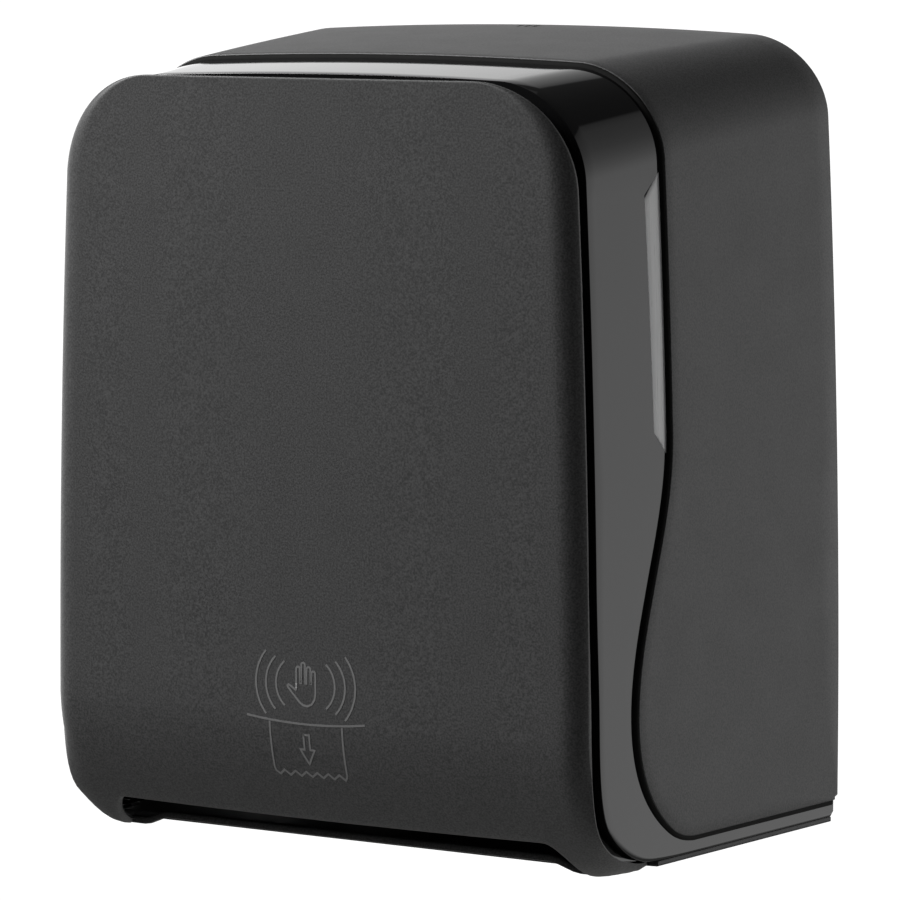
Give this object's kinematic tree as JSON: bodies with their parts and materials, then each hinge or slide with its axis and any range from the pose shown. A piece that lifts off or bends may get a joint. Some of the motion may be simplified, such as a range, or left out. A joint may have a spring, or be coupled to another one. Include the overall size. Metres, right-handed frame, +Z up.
{
  "type": "wall-mounted paper towel dispenser",
  "caption": "Wall-mounted touch-free paper towel dispenser with a tapered dark casing, a gloss band and a cover that swings down from hinges at the wall.",
  "frame": {"origin": "on the back plate's rear face, midway across and midway up the object, in the plane of the wall", "axes": "+Z up, +Y into the wall, +X to the right for someone facing the dispenser; the front faces -Y"},
  "size_m": [0.3286, 0.205, 0.3734],
  "materials": {
    "casing": "fine spark-eroded texture, matte",
    "gloss_trim": "polished moulded gloss",
    "rubber": "dull",
    "window": "translucent smoke, fine vertical drag lines",
    "inner_plastic": "moulded, fine grain",
    "chassis_plastic": "moulded, fine grain",
    "steel": "brushed",
    "nylon": "natural nylon",
    "cell": "satin sleeve",
    "board": "solder mask",
    "sensor_lens": "dark red window",
    "touch_point": "moulded, satin"
  },
  "bodies": {
    "chassis": {"status_lens": "window", "hinge_bracket_left": "inner_plastic", "hinge_bracket_right": "inner_plastic", "side_frame_left": "inner_plastic", "side_frame_right": "inner_plastic", "latch_bracket": "inner_plastic", "roll_arm_fixed": "inner_plastic", "chute_rear": "inner_plastic", "chute_front": "inner_plastic", "front_bridge": "inner_plastic", "sensor_housing": "inner_plastic", "battery_box": "inner_plastic", "lid_rod": "inner_plastic", "gear_cover": "inner_plastic", "control_box": "inner_plastic", "back_plate": "chassis_plastic", "arm_bracket": "chassis_plastic", "gearbox": "chassis_plastic", "hinge_pin_left": "steel", "hinge_pin_right": "steel", "contact_plate_left": "steel", "contact_plate_right": "steel", "module_screw_left_1": "steel", "module_screw_left_2": "steel", "module_screw_right_1": "steel", "module_screw_right_2": "steel", "tear_blade": "steel", "motor_can": "steel", "battery_cell_1": "cell", "battery_cell_2": "cell", "battery_cell_3": "cell", "battery_cell_4": "cell", "control_board": "board", "sensor_lens": "sensor_lens"},
    "cover": {"rear_shell": "casing", "seam_gasket": "rubber", "trim_frame": "gloss_trim", "front_panel": "casing", "window_left": "window", "window_right": "window", "bottom_tray": "inner_plastic", "lock_housing": "inner_plastic"},
    "latch": {"latch_lever": "touch_point"},
    "swing_arm": {"roll_arm_swing": "inner_plastic"},
    "left_hub": {"roll_hub_left": "touch_point"},
    "right_hub": {"roll_hub_right": "touch_point"},
    "feed_roller": {"feed_shaft": "steel", "feed_sleeve_1": "rubber", "feed_sleeve_2": "rubber", "feed_sleeve_3": "rubber", "feed_gear": "nylon"},
    "idler": {"idler_gear": "nylon"},
    "pinion": {"motor_pinion": "nylon"},
    "pinch_carrier": {"pinch_carriage": "inner_plastic"},
    "pinch_wheel": {"pinch_roller": "chassis_plastic"},
    "lid": {"battery_lid": "inner_plastic"},
    "button": {"feed_button": "touch_point"},
    "length_knob": {"length_switch": "nylon"}
  },
  "joints": [
    {"name": "cover_hinge", "type": "hinge", "parent": "chassis", "child": "cover", "pos_m": [0, -0.02, -0.176], "axis": [1, 0, 0], "range_deg": [0, 85]},
    {"name": "latch_swing", "type": "hinge", "parent": "chassis", "child": "latch", "pos_m": [0, -0.014, 0.154], "axis": [-1, 0, 0], "range_deg": [0, 12], "stiffness_Nm_per_rad": 0.05, "springref_deg": -11.46},
    {"name": "arm_swing", "type": "hinge", "parent": "chassis", "child": "swing_arm", "pos_m": [0.11, -0.01, 0.07], "axis": [0, 0, 1], "range_deg": [0, 12], "stiffness_Nm_per_rad": 0.8, "springref_deg": -8.59},
    {"name": "left_hub_spin", "type": "hinge", "parent": "chassis", "child": "left_hub", "pos_m": [-0.0955, -0.1, 0.07], "axis": [1, 0, 0], "continuous": true},
    {"name": "right_hub_spin", "type": "hinge", "parent": "swing_arm", "child": "right_hub", "pos_m": [0.0955, -0.1, 0.07], "axis": [1, 0, 0], "continuous": true},
    {"name": "feed_spin", "type": "hinge", "parent": "chassis", "child": "feed_roller", "pos_m": [0, -0.118, -0.084], "axis": [1, 0, 0], "continuous": true},
    {"name": "idler_spin", "type": "hinge", "parent": "chassis", "child": "idler", "pos_m": [-0.1255, -0.0955, -0.11081], "axis": [1, 0, 0], "continuous": true},
    {"name": "pinion_spin", "type": "hinge", "parent": "chassis", "child": "pinion", "pos_m": [-0.1255, -0.07827, -0.12527], "axis": [1, 0, 0], "continuous": true},
    {"name": "pinch_press", "type": "slide", "parent": "chassis", "child": "pinch_carrier", "axis": [0, -1, 0], "range_m": [0, 0.003], "stiffness_N_per_m": 900, "springref_m": -0.004},
    {"name": "pinch_spin", "type": "hinge", "parent": "pinch_carrier", "child": "pinch_wheel", "pos_m": [0, -0.1383, -0.084], "axis": [1, 0, 0], "continuous": true},
    {"name": "lid_hinge", "type": "hinge", "parent": "chassis", "child": "lid", "pos_m": [0, -0.007, -0.0685], "axis": [-1, 0, 0], "range_deg": [0, 80]},
    {"name": "button_press", "type": "slide", "parent": "chassis", "child": "button", "axis": [0, 1, 0], "range_m": [0, 0.002], "stiffness_N_per_m": 300, "springref_m": -0.002},
    {"name": "length_select", "type": "slide", "parent": "chassis", "child": "length_knob", "axis": [1, 0, 0], "range_m": [0, 0.008]}
  ],
  "couplings": [
    {"joint": "idler_spin", "follows": "feed_spin", "ratio": -1.3333},
    {"joint": "pinion_spin", "follows": "feed_spin", "ratio": 2.6667},
    {"joint": "pinch_spin", "follows": "feed_spin", "ratio": -1.5}
  ]
}
